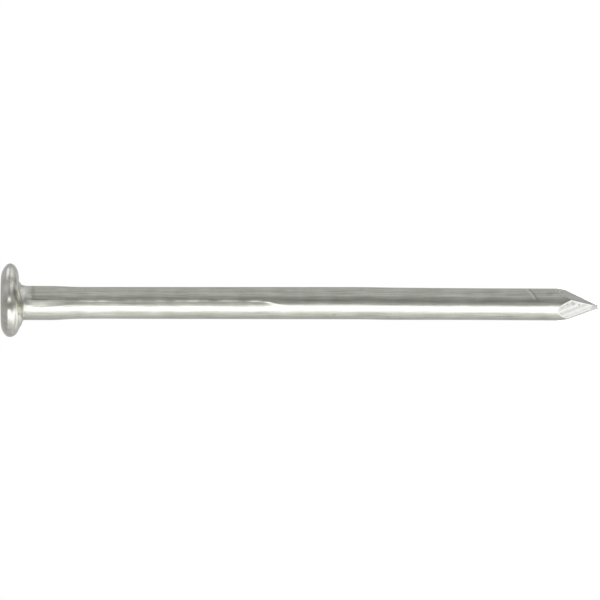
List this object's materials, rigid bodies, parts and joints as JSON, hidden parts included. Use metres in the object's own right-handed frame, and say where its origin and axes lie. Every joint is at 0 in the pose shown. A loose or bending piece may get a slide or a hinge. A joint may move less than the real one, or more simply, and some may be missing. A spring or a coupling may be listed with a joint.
{
  "type": "wire nail",
  "caption": "Round wire nail for timber: plain flat head with a rounded rim, straight smooth shank and a faceted diamond point, in zinc-coated steel.",
  "frame": {"origin": "where the shank's axis meets the underside of the head, the face that seats on the work", "axes": "+Z along the shank towards the head, so the nail stands point down as it is driven; the facets of the point face +X, -X, +Y and -Y"},
  "size_m": [0.0038, 0.0038, 0.03],
  "materials": {
    "steel": "satin",
    "zinc": "satin"
  },
  "bodies": {
    "root": {"steel_nail": "steel", "zinc_coating": "zinc"}
  },
  "joints": []
}
